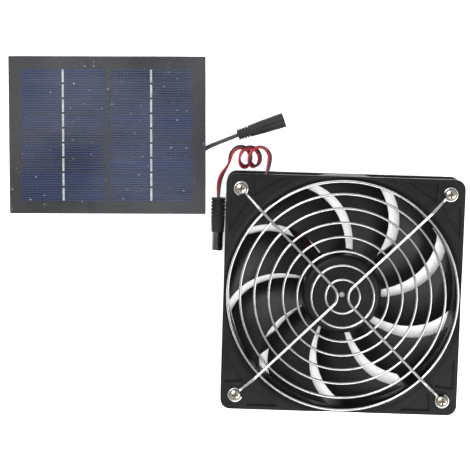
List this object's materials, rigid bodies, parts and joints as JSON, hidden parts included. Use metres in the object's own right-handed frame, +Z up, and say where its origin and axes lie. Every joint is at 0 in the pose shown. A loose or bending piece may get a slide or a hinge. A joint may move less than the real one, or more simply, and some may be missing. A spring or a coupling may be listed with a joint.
{
  "type": "solar attic fan",
  "caption": "Small box fan with a chromed wire guard and a short two-wire lead ending in a DC plug, with a flat solar panel on its own cable and DC socket.",
  "frame": {"origin": "on the fan's axis at its rear face, which is the surface that the object lies on", "axes": "+Z up along the fan's axis towards the guard; +X to the fan's right, with the panel on the -X side; +Y towards the side where the lead leaves"},
  "size_m": [0.2325, 0.1778, 0.0315],
  "materials": {
    "frame_plastic": "fine-textured black moulding",
    "impeller_plastic": "satin black moulding",
    "guard_chrome": "bright chromed wire",
    "screw_nickel": "warm nickel plate",
    "bright_steel": "ground steel",
    "core_steel": "laminated steel",
    "brass_tube": "turned brass",
    "copper_wire": "enamelled copper wire",
    "magnet": "bonded ferrite",
    "bobbin_plastic": "natural nylon",
    "circuit_board": "green solder mask",
    "chip_plastic": "black epoxy",
    "label_paper": "plain label, no print",
    "panel_black": "dark laminate",
    "panel_film": "clear satin film",
    "solar_cell": "dark blue silicon with fine fingers",
    "tinned_ribbon": "tinned ribbon",
    "box_plastic": "black moulding",
    "black_rubber": "soft black",
    "connector_plastic": "soft black moulding",
    "connector_insulator": "pale nylon",
    "dark_nickel": "dark nickel plate",
    "lead_insulation": "red and black insulation",
    "cable_jacket": "black cable jacket"
  },
  "bodies": {
    "fan": {"fan_frame": "frame_plastic", "lead_grommet": "black_rubber", "strut_wires": "lead_insulation", "guard_rings": "guard_chrome", "guard_spokes": "guard_chrome", "guard_screws": "screw_nickel", "guard_nuts": "screw_nickel", "bearing_tube": "brass_tube", "bearing_outer_rings": "bright_steel", "bearing_balls": "bright_steel", "wave_washer": "bright_steel", "stator_core": "core_steel", "stator_bobbins": "bobbin_plastic", "stator_windings": "copper_wire", "control_board": "circuit_board", "board_components": "chip_plastic", "motor_label": "label_paper", "plug_body": "connector_plastic", "plug_barrel": "dark_nickel", "plug_insulator": "connector_insulator", "plug_contact": "brass_tube", "fan_lead_tail": "lead_insulation", "fan_lead_curls": "lead_insulation", "fan_lead_run": "lead_insulation"},
    "rotor": {"impeller": "impeller_plastic", "shaft": "bright_steel", "shaft_clip": "bright_steel", "bearing_inner_rings": "bright_steel", "magnet_ring": "magnet", "yoke_ring": "core_steel"},
    "panel": {"panel_board": "panel_black", "panel_cover": "panel_film", "panel_cells": "solar_cell", "panel_busbars": "tinned_ribbon", "junction_box": "box_plastic", "junction_lid": "box_plastic", "terminal_tabs": "tinned_ribbon", "blocking_diode": "chip_plastic", "box_gland": "black_rubber", "jack_body": "connector_plastic", "jack_sleeve": "dark_nickel", "jack_pin": "brass_tube", "panel_cable_tail": "cable_jacket", "panel_cable_coil": "cable_jacket", "panel_cable_run": "cable_jacket"}
  },
  "joints": [
    {"name": "impeller_spin", "type": "hinge", "parent": "fan", "child": "rotor", "pos_m": [0, 0, 0.012], "axis": [0, 0, 1], "continuous": true},
    {"name": "panel_shift", "type": "slide", "parent": "fan", "child": "panel", "axis": [-1, 0, 0], "range_m": [0, 0.1]}
  ]
}
